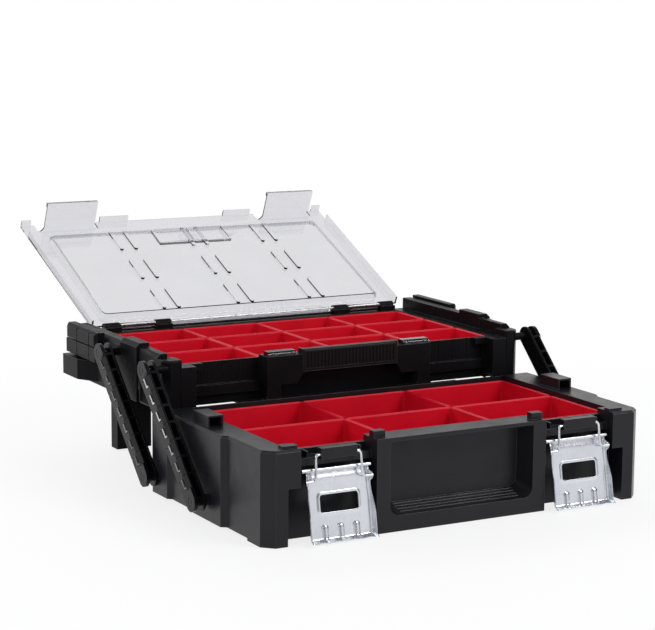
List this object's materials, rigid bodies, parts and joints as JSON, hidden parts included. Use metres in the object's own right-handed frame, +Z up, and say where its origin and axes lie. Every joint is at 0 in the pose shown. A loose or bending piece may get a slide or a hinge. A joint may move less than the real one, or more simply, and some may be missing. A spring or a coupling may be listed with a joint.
{
  "type": "cantilever organizer box",
  "caption": "Cantilever organizer box: lower box and swing-out parts tray with lift-out bins, clear hinged lid and two steel draw latches, shown open.",
  "frame": {"origin": "middle of the lower box's underside, on the floor", "axes": "+X to the right as seen from the latches, +Y to the back, +Z up"},
  "size_m": [0.5652, 0.8003, 0.3051],
  "materials": {
    "black_plastic": "satin black polypropylene with a fine moulded grain",
    "grip_plastic": "fluted matt black",
    "red_plastic": "semi-gloss red polypropylene",
    "zinc_steel": "bright zinc-plated pressed steel",
    "pin_steel": "turned steel",
    "clear_plastic": "clear polycarbonate",
    "clear_cap": "clear polycarbonate, frosted underneath"
  },
  "bodies": {
    "lower_box": {"lower_box": "black_plastic", "lower_arm_pins": "pin_steel"},
    "front_arms": {"front_arm_left": "black_plastic", "front_arm_right": "black_plastic"},
    "rear_arms": {"rear_arm_left": "black_plastic", "rear_arm_right": "black_plastic"},
    "upper_tray": {"upper_tray": "black_plastic", "upper_arm_pins": "pin_steel", "handle_grip": "grip_plastic", "bracket_cap_left": "clear_cap", "bracket_cap_right": "clear_cap", "lid_hinge_pins": "pin_steel"},
    "lid": {"lid": "clear_plastic"},
    "lower_bin_row1_1": {"lower_bin_row1_1": "red_plastic"},
    "lower_bin_row1_2": {"lower_bin_row1_2": "red_plastic"},
    "lower_bin_row1_3": {"lower_bin_row1_3": "red_plastic"},
    "lower_bin_row2_1": {"lower_bin_row2_1": "red_plastic"},
    "lower_bin_row2_2": {"lower_bin_row2_2": "red_plastic"},
    "lower_bin_row2_3": {"lower_bin_row2_3": "red_plastic"},
    "tray_bin_row1_1": {"tray_bin_row1_1": "red_plastic"},
    "tray_bin_row1_2": {"tray_bin_row1_2": "red_plastic"},
    "tray_bin_row1_3": {"tray_bin_row1_3": "red_plastic"},
    "tray_bin_row1_4": {"tray_bin_row1_4": "red_plastic"},
    "tray_bin_row2_1": {"tray_bin_row2_1": "red_plastic"},
    "tray_bin_row2_2": {"tray_bin_row2_2": "red_plastic"},
    "tray_bin_row2_3": {"tray_bin_row2_3": "red_plastic"},
    "tray_bin_row2_4": {"tray_bin_row2_4": "red_plastic"},
    "tray_bin_row3_1": {"tray_bin_row3_1": "red_plastic"},
    "tray_bin_row3_2": {"tray_bin_row3_2": "red_plastic"},
    "tray_bin_row3_3": {"tray_bin_row3_3": "red_plastic"},
    "tray_bin_row3_4": {"tray_bin_row3_4": "red_plastic"},
    "latch_bail_left": {"latch_bail_left": "zinc_steel"},
    "latch_plate_left": {"latch_plate_left": "zinc_steel"},
    "latch_bail_right": {"latch_bail_right": "zinc_steel"},
    "latch_plate_right": {"latch_plate_right": "zinc_steel"}
  },
  "joints": [
    {"name": "arm_swing", "type": "hinge", "parent": "lower_box", "child": "front_arms", "pos_m": [0, -0.0015, 0.0265], "axis": [-1, 0, 0], "range_deg": [-89.6, 0]},
    {"name": "rear_arm_swing", "type": "hinge", "parent": "lower_box", "child": "rear_arms", "pos_m": [0, 0.1315, 0.0265], "axis": [-1, 0, 0], "range_deg": [-89.6, 0]},
    {"name": "tray_levelling", "type": "hinge", "parent": "front_arms", "child": "upper_tray", "pos_m": [0, 0.13326, 0.15528], "axis": [-1, 0, 0], "range_deg": [0, 89.6]},
    {"name": "lid_hinge", "type": "hinge", "parent": "upper_tray", "child": "lid", "pos_m": [0, 0.396, 0.163], "axis": [-1, 0, 0], "range_deg": [-156.2, 0]},
    {"name": "lower_bin_row1_1_lift", "type": "slide", "parent": "lower_box", "child": "lower_bin_row1_1", "axis": [0, 0, 1], "range_m": [0, 0.11]},
    {"name": "lower_bin_row1_2_lift", "type": "slide", "parent": "lower_box", "child": "lower_bin_row1_2", "axis": [0, 0, 1], "range_m": [0, 0.11]},
    {"name": "lower_bin_row1_3_lift", "type": "slide", "parent": "lower_box", "child": "lower_bin_row1_3", "axis": [0, 0, 1], "range_m": [0, 0.11]},
    {"name": "lower_bin_row2_1_lift", "type": "slide", "parent": "lower_box", "child": "lower_bin_row2_1", "axis": [0, 0, 1], "range_m": [0, 0.11]},
    {"name": "lower_bin_row2_2_lift", "type": "slide", "parent": "lower_box", "child": "lower_bin_row2_2", "axis": [0, 0, 1], "range_m": [0, 0.11]},
    {"name": "lower_bin_row2_3_lift", "type": "slide", "parent": "lower_box", "child": "lower_bin_row2_3", "axis": [0, 0, 1], "range_m": [0, 0.11]},
    {"name": "tray_bin_row1_1_lift", "type": "slide", "parent": "upper_tray", "child": "tray_bin_row1_1", "axis": [0, 0, 1], "range_m": [0, 0.06]},
    {"name": "tray_bin_row1_2_lift", "type": "slide", "parent": "upper_tray", "child": "tray_bin_row1_2", "axis": [0, 0, 1], "range_m": [0, 0.06]},
    {"name": "tray_bin_row1_3_lift", "type": "slide", "parent": "upper_tray", "child": "tray_bin_row1_3", "axis": [0, 0, 1], "range_m": [0, 0.06]},
    {"name": "tray_bin_row1_4_lift", "type": "slide", "parent": "upper_tray", "child": "tray_bin_row1_4", "axis": [0, 0, 1], "range_m": [0, 0.06]},
    {"name": "tray_bin_row2_1_lift", "type": "slide", "parent": "upper_tray", "child": "tray_bin_row2_1", "axis": [0, 0, 1], "range_m": [0, 0.06]},
    {"name": "tray_bin_row2_2_lift", "type": "slide", "parent": "upper_tray", "child": "tray_bin_row2_2", "axis": [0, 0, 1], "range_m": [0, 0.06]},
    {"name": "tray_bin_row2_3_lift", "type": "slide", "parent": "upper_tray", "child": "tray_bin_row2_3", "axis": [0, 0, 1], "range_m": [0, 0.06]},
    {"name": "tray_bin_row2_4_lift", "type": "slide", "parent": "upper_tray", "child": "tray_bin_row2_4", "axis": [0, 0, 1], "range_m": [0, 0.06]},
    {"name": "tray_bin_row3_1_lift", "type": "slide", "parent": "upper_tray", "child": "tray_bin_row3_1", "axis": [0, 0, 1], "range_m": [0, 0.06]},
    {"name": "tray_bin_row3_2_lift", "type": "slide", "parent": "upper_tray", "child": "tray_bin_row3_2", "axis": [0, 0, 1], "range_m": [0, 0.06]},
    {"name": "tray_bin_row3_3_lift", "type": "slide", "parent": "upper_tray", "child": "tray_bin_row3_3", "axis": [0, 0, 1], "range_m": [0, 0.06]},
    {"name": "tray_bin_row3_4_lift", "type": "slide", "parent": "upper_tray", "child": "tray_bin_row3_4", "axis": [0, 0, 1], "range_m": [0, 0.06]},
    {"name": "bail_swing_left", "type": "hinge", "parent": "lower_box", "child": "latch_bail_left", "pos_m": [-0.163, -0.134, 0.099], "axis": [-1, 0, 0], "range_deg": [0, 170]},
    {"name": "latch_swing_left", "type": "hinge", "parent": "latch_bail_left", "child": "latch_plate_left", "pos_m": [-0.163, -0.1375, 0.07], "axis": [-1, 0, 0], "range_deg": [0, 178]},
    {"name": "bail_swing_right", "type": "hinge", "parent": "lower_box", "child": "latch_bail_right", "pos_m": [0.163, -0.134, 0.099], "axis": [-1, 0, 0], "range_deg": [0, 170]},
    {"name": "latch_swing_right", "type": "hinge", "parent": "latch_bail_right", "child": "latch_plate_right", "pos_m": [0.163, -0.1375, 0.07], "axis": [-1, 0, 0], "range_deg": [0, 178]}
  ],
  "couplings": [
    {"joint": "rear_arm_swing", "follows": "arm_swing", "ratio": 1},
    {"joint": "tray_levelling", "follows": "arm_swing", "ratio": -1}
  ]
}
